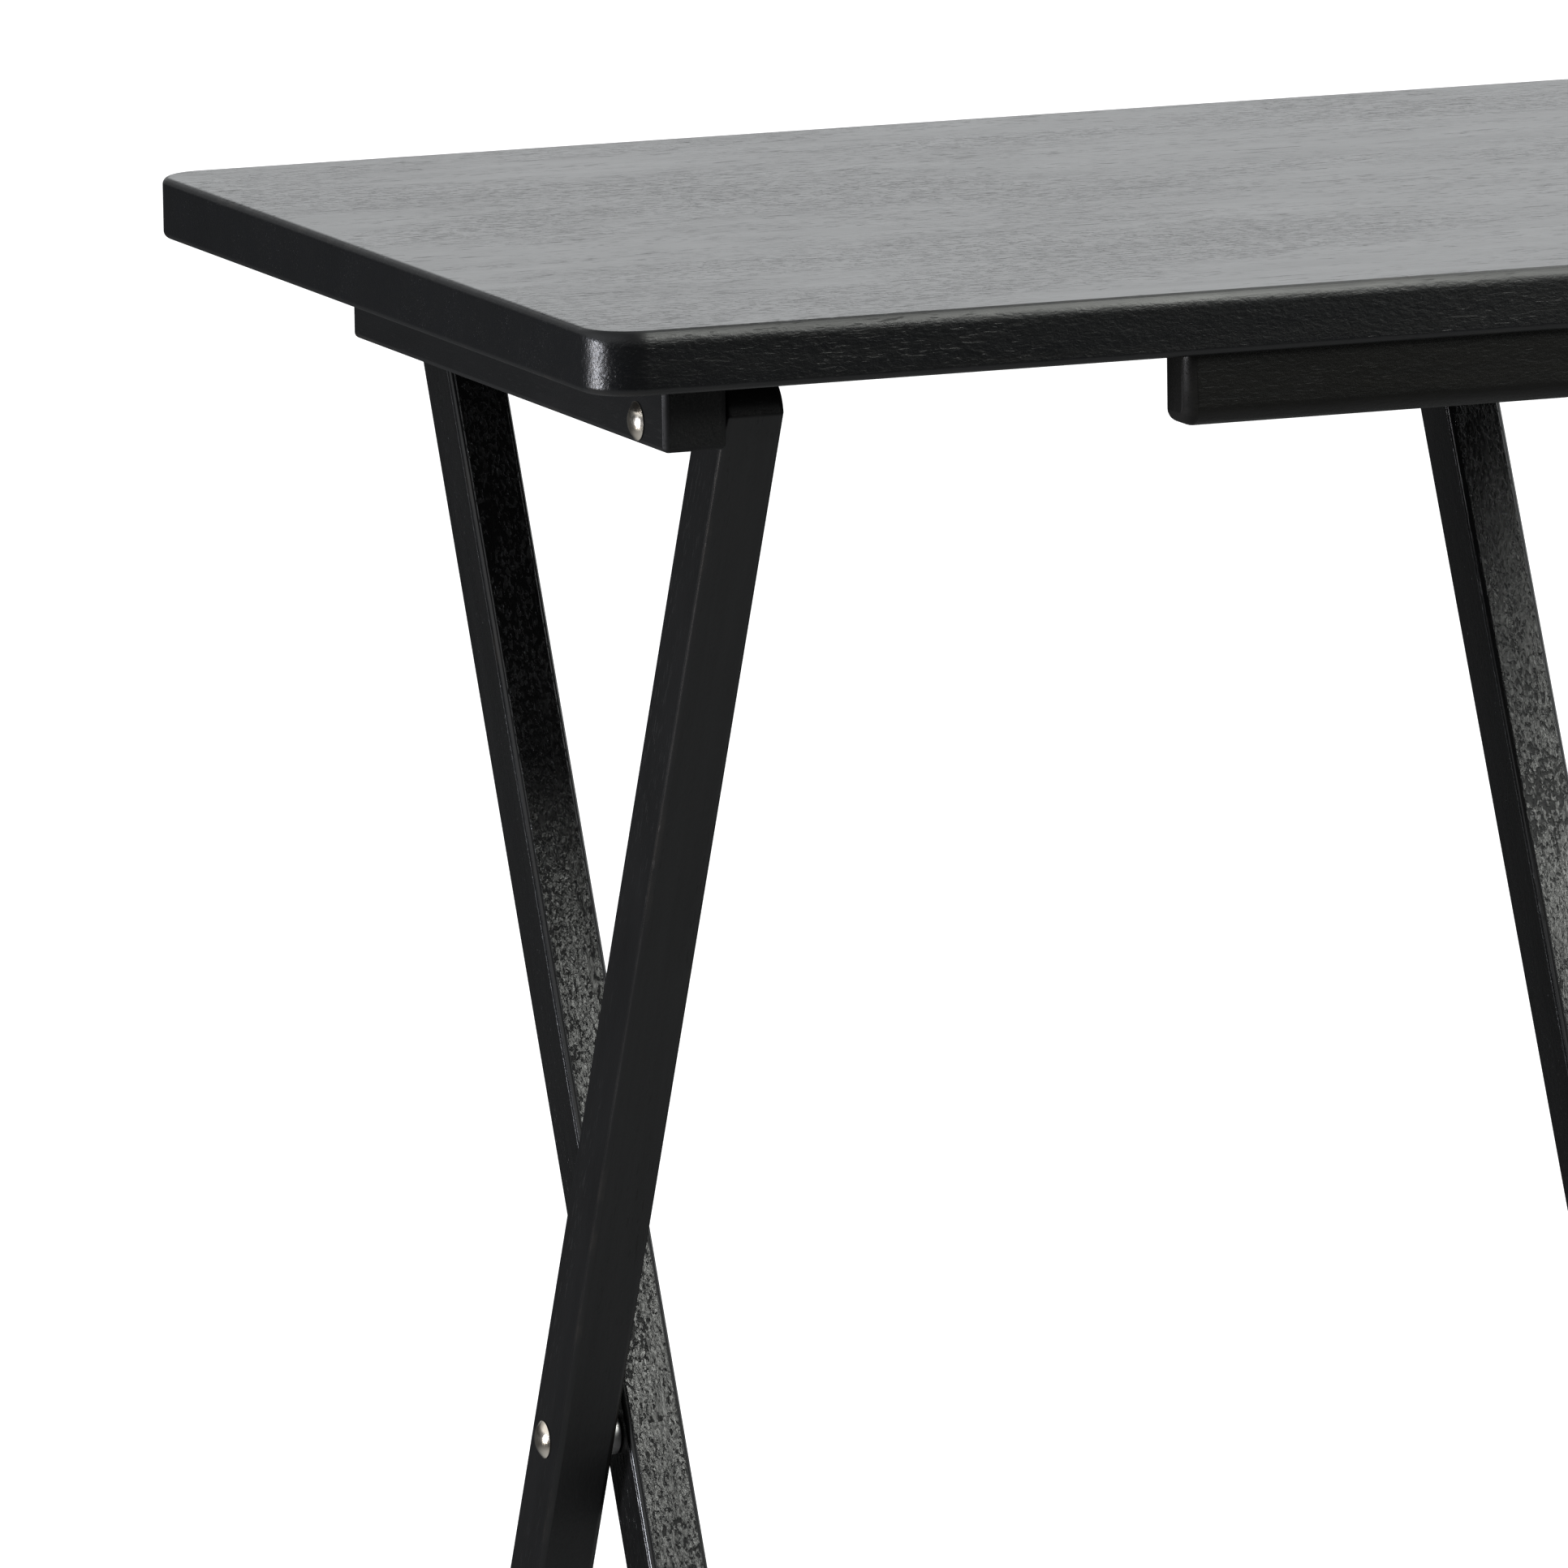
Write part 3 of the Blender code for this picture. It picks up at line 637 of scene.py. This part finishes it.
for a, b in zip(loops, loops[1:]):
    n = len(a)
    for i in range(n):
        bm.faces.new((a[i], a[(i + 1) % n], b[(i + 1) % n], b[i]))
bm.faces.new(loops[0][::-1])
bm.faces.new(loops[-1])
top = object_from(bm, "tabletop_detail")

# --------------------------------------------------------------------------
# Cleats, front block
# --------------------------------------------------------------------------
def block(name, node, width, segments=5):
    lo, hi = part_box(node)
    bm = bmesh.new()
    add_prism(bm, [(lo.x, lo.y, lo.z), (hi.x, lo.y, lo.z), (hi.x, hi.y, lo.z), (lo.x, hi.y, lo.z)],
              (0, 0, hi.z - lo.z))
    soften(bm, width, segments)
    return object_from(bm, name)


def bore(name, side, level, from_x, to_x):
    pivot = TOP_PIVOT if level == "top" else MID_PIVOT
    return hole(name, (from_x, pivot.y, pivot.z), (to_x - from_x, 0, 0),
                [(0, 3.4 * MM), (abs(to_x - from_x), 3.4 * MM)], 48)


cuts_top = []
for side in ("left", "right"):
    cleat = block("cleat_%s_detail" % side, "cleat_" + side, 1.7 * MM)
    tools = []
    for where in ("front", "middle", "rear"):
        c = place_screw("cleat_screw_%s_%s" % (side, where), UP, 29 * MM, "top")
        tools.append(sunk_hole("h", c, UP))
        cuts_top.append(plain_hole("h", c, UP))
    lo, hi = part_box("cleat_" + side)
    tools.append(bore("h", side, "top", lo.x - 5 * MM, hi.x + 5 * MM))
    carve(cleat, tools)
    dress(cleat, WOOD_CLEAT, "top", ["cleat_" + side])

lo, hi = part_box("front_batten")
NOSE = 6 * MM                     # the lower front arris is rolled well round
section = [(lo.y, hi.z)]
for k in range(13):
    t = QUARTER * k / 12
    section.append((lo.y + NOSE * (1 - math.cos(t)), lo.z + NOSE * (1 - math.sin(t))))
section += [(hi.y, lo.z), (hi.y, hi.z)]
bm = bmesh.new()
add_prism(bm, [Vector((lo.x, y, z)) for y, z in section], (hi.x - lo.x, 0, 0))
soften(bm, 3.8 * MM, 8, keep=lambda e: max(v.co.z for v in e.verts) < hi.z - 1e-6
       or abs((e.verts[0].co - e.verts[1].co).normalized().z) > 0.9)
batten = object_from(bm, "front_batten_detail")
tools = []
for side in ("left", "right"):
    c = place_screw("batten_screw_" + side, UP, 29 * MM, "top")
    tools.append(sunk_hole("h", c, UP))
    cuts_top.append(plain_hole("h", c, UP))
carve(batten, tools)
dress(batten, WOOD_BATTEN, "top", ["front_batten"])

# --------------------------------------------------------------------------
# Clips: a channel that opens forwards and down, on a small screwed plate
# --------------------------------------------------------------------------
LEAN = math.radians(31)
out = Vector((0, -math.sin(LEAN), -math.cos(LEAN)))
across = Vector((0, math.cos(LEAN), -math.sin(LEAN)))
INNER_R, CLIP_T = 7.7 * MM, 2.5 * MM
for side in ("left", "right"):
    lo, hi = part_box("crossbar_clip_" + side)
    inner, outer = [], []
    for k in range(25):
        t = math.pi * k / 24
        way = across * math.cos(t) - out * math.sin(t)
        inner.append(CROSSBAR + way * INNER_R)
        outer.append(CROSSBAR + way * (INNER_R + CLIP_T))
    back_in = CROSSBAR + across * (INNER_R + 1.0 * MM) + out * 8 * MM
    back_out = CROSSBAR + across * (INNER_R + CLIP_T + 0.6 * MM) + out * 8.6 * MM
    front_in = CROSSBAR - across * (INNER_R + 0.5 * MM) + out * 3 * MM
    front_out = CROSSBAR - across * (INNER_R + CLIP_T) + out * 3.4 * MM
    loop = [back_out] + outer + [front_out, front_in] + inner[::-1] + [back_in]
    loop = [Vector((lo.x, p.y, p.z)) for p in loop]
    bm = bmesh.new()
    add_prism(bm, loop, (hi.x - lo.x, 0, 0))
    soften(bm, 0.45 * MM, 3, math.radians(30))
    clip = object_from(bm, "crossbar_clip_%s_detail" % side)
    bm = bmesh.new()
    z0 = hi.z - 2.6 * MM
    add_prism(bm, [(lo.x, lo.y, z0), (hi.x, lo.y, z0), (hi.x, hi.y, z0), (lo.x, hi.y, z0)],
              (0, 0, hi.z - z0))
    soften(bm, 2.4 * MM, 6, keep=lambda e: abs((e.verts[0].co - e.verts[1].co).normalized().z) > 0.9)
    soften(bm, 0.45 * MM, 3)
    plate = object_from(bm, "plate")
    ribs = []
    bm = bmesh.new()
    mid = (lo.x + hi.x) / 2
    for sign in (1, -1):        # two gussets stiffen the channel's back
        y1 = CROSSBAR.y + sign * (INNER_R + CLIP_T * 0.4)
        add_prism(bm, [(mid - 1.1 * MM, y1, z0 + 0.4 * MM),
                       (mid - 1.1 * MM, y1 + sign * 3.2 * MM, z0 + 0.4 * MM),
                       (mid - 1.1 * MM, y1 - sign * 0.6 * MM, z0 - 6.5 * MM)], (2.2 * MM, 0, 0))
    ribs.append(object_from(bm, "ribs"))
    tools = []
    for where in ("front", "rear"):
        c = place_screw("clip_screw_%s_%s" % (side, where), UP, 14 * MM, "top")
        tools.append(sunk_hole("h", c, UP))
        cuts_top.append(hole("h", c, UP, [(-1 * MM, SCREW_R + 0.22 * MM), (14.5 * MM, SCREW_R + 0.22 * MM)], 24))
    carve(clip, tools, [plate] + ribs)
    dress(clip, NYLON, "top", ["crossbar_clip_" + side])

carve(top, cuts_top)
dress(top, WOOD_TOP, "top", ["tabletop"], angle=50)


# --------------------------------------------------------------------------
# Legs
# --------------------------------------------------------------------------
def leg_loop(head, lean, x):
    fall = Vector((0, lean * math.sin(TILT), -math.cos(TILT)))
    back = Vector((0, math.cos(TILT), lean * math.sin(TILT)))
    half, head_r, corner = LEG_D / 2, 12 * MM, 2.4 * MM
    cx = half - corner
    cy = math.sqrt((head_r - corner) ** 2 - cx ** 2)
    turn = math.atan2(cy, cx)
    outline = []
    for k in range(9):
        t = turn * k / 8
        outline.append((cx + corner * math.cos(t), cy + corner * math.sin(t)))
    for k in range(1, 30):
        t = turn + (math.pi - 2 * turn) * k / 30
        outline.append((head_r * math.cos(t), head_r * math.sin(t)))
    for k in range(8, -1, -1):
        t = turn * k / 8
        outline.append((-cx - corner * math.cos(t), cy + corner * math.sin(t)))
    points = [head + back * across - fall * up for across, up in outline]
    for side in (-1, 1):
        edge = head + back * (side * half)
        points.append(edge + fall * (edge.z / math.cos(TILT)))
    return [Vector((x, p.y, p.z)) for p in points]


fall_of = {"outer": Vector((0, math.sin(TILT), -math.cos(TILT))),
           "inner": Vector((0, -math.sin(TILT), -math.cos(TILT)))}
out_of = {"outer": Vector((0, math.cos(TILT), math.sin(TILT))),
          "inner": Vector((0, -math.cos(TILT), math.sin(TILT)))}

slat_tools = {"outer": [], "inner": []}
leg_tools = {("outer", "left"): [], ("outer", "right"): [], ("inner", "left"): [], ("inner", "right"): []}
for kind in ("outer", "inner"):
    for side in ("left", "right"):
        for level in ("upper", "lower"):
            c = place_screw("%s_stretcher_screw_%s_%s" % (kind, side, level), -out_of[kind],
                            24 * MM, kind + "_frame")
            slat_tools[kind].append(sunk_hole("h", c, -out_of[kind]))
            leg_tools[(kind, side)].append(
                hole("h", c, -out_of[kind], [(5 * MM, SCREW_R + 0.22 * MM), (25 * MM, SCREW_R + 0.22 * MM)], 24))

bar_tools = []
for side, s in (("left", -1), ("right", 1)):
    axis = Vector((-s, 0, 0))
    c = place_screw("crossbar_screw_" + side, axis, 34 * MM, "inner_frame")
    leg_tools[("inner", side)].append(sunk_hole("h", c, axis))
    bar_tools.append(hole("h", c, axis, [(2 * MM, SCREW_R + 0.22 * MM), (35 * MM, SCREW_R + 0.22 * MM)], 24))

for kind, head, lean, mat in (("outer", TOP_PIVOT, 1, WOOD_OUTER), ("inner", CROSSBAR, -1, WOOD_INNER)):
    for side in ("left", "right"):
        lo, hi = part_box("%s_leg_%s" % (kind, side))
        bm = bmesh.new()
        add_prism(bm, leg_loop(head, lean, lo.x), (hi.x - lo.x, 0, 0))
        soften(bm, 1.8 * MM, 5)
        leg = object_from(bm, "%s_leg_%s_detail" % (kind, side))
        tools = leg_tools[(kind, side)]
        if kind == "outer":
            tools.append(bore("h", side, "top", lo.x - 5 * MM, hi.x + 5 * MM))
            tools.append(bore("h", side, "mid", lo.x - 5 * MM, hi.x + 5 * MM))
            inner_x, s = (hi.x, -1) if side == "left" else (lo.x, 1)
            start = inner_x - s * 3 * MM
            tools.append(hole("h", (start, TOP_PIVOT.y, TOP_PIVOT.z), (s, 0, 0),
                              [(0, 4.9 * MM), (14 * MM, 4.9 * MM)], 40))
        else:
            tools.append(bore("h", side, "mid", lo.x - 5 * MM, hi.x + 5 * MM))
            inner_x, s = (hi.x, -1) if side == "left" else (lo.x, 1)
            start = inner_x - s * 3 * MM
            tools.append(hole("h", (start, MID_PIVOT.y, MID_PIVOT.z), (s, 0, 0),
                              [(0, 4.9 * MM), (14 * MM, 4.9 * MM)], 40))
            tools.append(hole("h", (start, CROSSBAR.y, CROSSBAR.z), (s, 0, 0),
                              [(0, 7.25 * MM), (11.4 * MM, 7.25 * MM)], 48))
        carve(leg, tools)
        dress(leg, mat, kind + "_frame", ["%s_leg_%s" % (kind, side)])

# --------------------------------------------------------------------------
# Crossbar and lower slats
# --------------------------------------------------------------------------
lo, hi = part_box("crossbar")
bm = bmesh.new()
length = hi.x - lo.x
ends = [(0, 5.9 * MM), (0.35 * MM, 6.55 * MM), (0.9 * MM, 6.9 * MM), (1.6 * MM, 7.0 * MM)]
run = [(1.6 * MM + (length - 3.2 * MM) * k / 24, 7.0 * MM) for k in range(1, 24)]
add_turned(bm, (lo.x, CROSSBAR.y, CROSSBAR.z), (1, 0, 0),
           ends + run + [(length - a, r) for a, r in ends[::-1]], 64)
bar = object_from(bm, "crossbar_detail")
carve(bar, bar_tools)
dress(bar, WOOD_RAIL, "inner_frame", ["crossbar"])

for kind in ("outer", "inner"):
    lo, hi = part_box(kind + "_stretcher")
    fall, outw = fall_of[kind], out_of[kind]
    mid = MID_PIVOT + fall * (235 * MM) + outw * (LEG_D / 2 + 0.3 * MM)
    a = mid - fall * (16 * MM)
    loop = [a, a + outw * (10 * MM), a + outw * (10 * MM) + fall * (32 * MM), a + fall * (32 * MM)]
    loop = [Vector((lo.x, p.y, p.z)) for p in loop]
    bm = bmesh.new()
    add_prism(bm, loop, (hi.x - lo.x, 0, 0))
    soften(bm, 2.0 * MM, 5)
    slat = object_from(bm, kind + "_stretcher_detail")
    carve(slat, slat_tools[kind])
    dress(slat, WOOD_RAIL, kind + "_frame", [kind + "_stretcher"])


# --------------------------------------------------------------------------
# Pivot bolts and spacers
# --------------------------------------------------------------------------
def bolt(node, body, s):
    lo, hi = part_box(node)
    length = hi.x - lo.x
    head_h, head_r, shank = 2.3 * MM, 5.5 * MM, 3.0 * MM
    start = Vector((hi.x if s > 0 else lo.x, (lo.y + hi.y) / 2, (lo.z + hi.z) / 2))
    ball = (head_r ** 2 + head_h ** 2) / (2 * head_h)
    top = math.asin(head_r / ball)
    profile = [(0, 0)]
    for k in range(1, 15):
        t = top * 0.97 * k / 14
        profile.append((ball * (1 - math.cos(t)), ball * math.sin(t)))
    a, r = profile[-1]
    for k in range(1, 6):               # the head's rim rolls under
        t = math.pi * 0.5 * k / 5
        profile.append((a + (head_h - 0.12 * MM - a) * (1 - math.cos(t)) ** 0.8,
                        r + (head_r - r) * math.sin(t)))
    profile += [(head_h, head_r - 0.12 * MM), (head_h, shank + 0.25 * MM),
                (head_h + 0.25 * MM, shank), (length - 0.6 * MM, shank), (length, shank - 0.6 * MM)]
    bm = bmesh.new()
    add_turned(bm, start, (-s, 0, 0), profile, 64)
    ob = object_from(bm, node + "_detail")
    dress(ob, BOLT_METAL, body, [node], angle=40, weighted=False)
    ob.visible_diffuse = ob.visible_glossy = False      # no specks of focused light beside it


def washer(node, body):
    lo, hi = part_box(node)
    t = hi.x - lo.x
    outer, inner, e = (hi.z - lo.z) / 2 * 1.0, 3.45 * MM, 0.45 * MM
    section = [(0.12 * MM, inner), (0, inner + 0.15 * MM), (0, outer - e), (e * 0.3, outer - e * 0.3),
               (e, outer), (t - e, outer), (t - e * 0.3, outer - e * 0.3), (t, outer - e),
               (t, inner + 0.15 * MM), (t - 0.12 * MM, inner)]
    bm = bmesh.new()
    add_ring(bm, (lo.x, (lo.y + hi.y) / 2, (lo.z + hi.z) / 2), (1, 0, 0), section, 56)
    ob = object_from(bm, node + "_detail")
    dress(ob, WASHER_METAL, body, [node], angle=40)


for side, s in (("left", -1), ("right", 1)):
    bolt("top_pivot_bolt_" + side, "outer_frame", s)
    bolt("mid_pivot_bolt_" + side, "inner_frame", s)
    washer("top_pivot_washer_" + side, "outer_frame")
    washer("mid_pivot_washer_" + side, "inner_frame")
    for level in ("top", "mid"):
        insert = frame["nodes"]["%s_pivot_insert_%s" % (level, side)]
        insert.data.materials.clear()
        insert.data.materials.append(BRASS)

# --------------------------------------------------------------------------
# Floor, sky and lights
# --------------------------------------------------------------------------
WALL_BACK, WALL_FRONT, GROUND, BAND, ZENITH = 1.50, 0.13, 0.34, 0.9, 0.45
bm = bmesh.new()
bmesh.ops.create_circle(bm, cap_ends=True, radius=60, segments=96)
floor = object_from(bm, "floor")
mat, g, shader, coords = new_material("pale_floor")
shader.inputs["Roughness"].default_value = 0.9
shader.inputs["Specular IOR Level"].default_value = 0.1
shader.inputs["Emission Color"].default_value = (1, 1, 1, 1)
reach = g.nodes.new("ShaderNodeVectorMath")
reach.operation = "LENGTH"
g.link(coords, reach.inputs[0])
g.link(g.ramp(reach.outputs["Value"], ((0.35, 0.74), (1.5, 1.0)), True), shader.inputs["Emission Strength"])
tint = g.noise(g.stretch(coords, (3, 3, 3)), 1.0, 3, 0.5)
g.link(g.mix(tint, (0.46, 0.46, 0.46), (0.50, 0.50, 0.50)), shader.inputs["Base Color"])
see_through = g.nodes.new("ShaderNodeBsdfTransparent")
side_of = g.nodes.new("ShaderNodeNewGeometry").outputs["Backfacing"]
either = g.nodes.new("ShaderNodeMixShader")
g.link(side_of, either.inputs["Fac"])
g.link(shader.outputs[0], either.inputs[1])
g.link(see_through.outputs[0], either.inputs[2])
g.link(either.outputs[0], g.nodes["Material Output"].inputs["Surface"])
floor.data.materials.append(mat)
floor.visible_glossy = False      # the black lacquer mirrors a dark room, not the sweep,
floor.visible_diffuse = False     # and the sweep throws no light back up

# The room: a broad pale wall behind the table, which the top mirrors at a low
# angle, a soft band of light high round the walls, and a dark floor line.
world = bpy.data.worlds.new("studio")
scene.world = world
world.use_nodes = True
g = Graph(world)
g.nodes.clear()
way = g.nodes.new("ShaderNodeTexCoord").outputs["Generated"]
sep = g.nodes.new("ShaderNodeSeparateXYZ")
g.link(way, sep.inputs[0])
dot = g.nodes.new("ShaderNodeVectorMath")
dot.operation = "DOT_PRODUCT"
g.link(way, dot.inputs[0])
dot.inputs[1].default_value = (0.75, 0.66, 0)
z = sep.outputs["Z"]
wall = g.math("MULTIPLY", g.ramp(dot.outputs["Value"], ((0.50, 0.0), (0.84, WALL_BACK)), True),
              g.ramp(z, ((-0.02, 0.0), (0.13, 1.0)), True))
wall = g.math("MULTIPLY", wall, g.ramp(z, ((0.30, 1.0), (0.85, 0.35)), True))
base = g.ramp(z, ((0.02, 0.02), (0.36, WALL_FRONT)), True)
# a soft band of light round the room above head height, lower and dimmer in front
ahead = g.nodes.new("ShaderNodeVectorMath")
ahead.operation = "DOT_PRODUCT"
g.link(way, ahead.inputs[0])
ahead.inputs[1].default_value = (0.37, -0.93, 0)
front = g.ramp(ahead.outputs["Value"], ((0.25, 0.0), (0.75, 1.0)), True)
wide = g.ramp(z, ((0.55, 1.0), (0.85, 0.0)), True)
# it dips where the table's left sides mirror it
behind = g.nodes.new("ShaderNodeVectorMath")
behind.operation = "DOT_PRODUCT"
g.link(way, behind.inputs[0])
behind.inputs[1].default_value = (-0.37, 0.93, 0)
wide = g.math("MULTIPLY", wide, g.ramp(behind.outputs["Value"], ((0.70, 1.0), (0.92, 0.45)), True))
narrow = g.ramp(z, ((0.36, 0.6), (0.52, 0.0)), True)
band = g.math("ADD", g.math("MULTIPLY", wide, g.math("SUBTRACT", 1.0, front)),
              g.math("MULTIPLY", narrow, front))
band = g.math("MULTIPLY", band, g.ramp(z, ((0.20, 0.0), (0.36, BAND)), True))
zenith = g.ramp(z, ((0.72, 0.0), (0.97, ZENITH)), True)
above = g.math("ADD", g.math("MAXIMUM", g.math("MAXIMUM", wall, base), band), zenith)
under = g.ramp(z, ((-0.78, GROUND), (-0.32, 0.03)), True)
below = g.ramp(z, ((-0.02, 1.0), (0.04, 0.0)), True)
level_ = g.math("ADD", above, g.math("MULTIPLY", under, below))
path = g.nodes.new("ShaderNodeLightPath")
cool = g.nodes.new("ShaderNodeVectorMath")
cool.operation = "SCALE"
cool.inputs[0].default_value = (0.98, 1.0, 1.01)
g.link(level_, cool.inputs["Scale"])
shown = g.mix(path.outputs["Is Camera Ray"], cool.outputs["Vector"], (1.0, 1.0, 1.0))
bg = g.nodes.new("ShaderNodeBackground")
g.link(shown, bg.inputs["Color"])
out_node = g.nodes.new("ShaderNodeOutputWorld")
g.link(bg.outputs[0], out_node.inputs["Surface"])


def softbox(name, place, target, size, radiance, colour=(1, 1, 1)):
    data = bpy.data.lights.new(name, "AREA")
    data.shape = "RECTANGLE"
    data.size, data.size_y = size
    data.energy = radiance * math.pi * size[0] * size[1]
    data.color = colour
    ob = bpy.data.objects.new(name, data)
    scene.collection.objects.link(ob)
    aim = (Vector(target) - Vector(place)).normalized()
    ob.matrix_world = Matrix.Translation(place) @ aim.to_track_quat("-Z", "Y").to_matrix().to_4x4()
    ob.visible_camera = False
    return ob


softbox("front_box", (0.80, -1.60, 1.78), (0.0, 0.0, 0.37), (0.50, 0.80), 16.2, (0.98, 1.0, 0.95))
softbox("over_box", (0.98, -0.10, 1.75), (0.98, -0.10, 0.0), (0.8, 1.2), 7.0, (0.98, 1.0, 0.97))
softbox("fill_box", (1.14, -1.75, 0.62), (0.15, -0.18, 0.6), (0.5, 0.35), 2.0, (0.98, 1.0, 0.95))
softbox("left_box", (-2.35, 0.12, 0.39), (-0.2, 0.0, 0.39), (0.27, 0.58), 64.0, (0.94, 0.97, 1.06))
softbox("left_low", (-1.75, 0.10, 0.16), (-0.2, 0.0, 0.15), (0.30, 0.30), 14.0, (1.0, 0.88, 0.78))
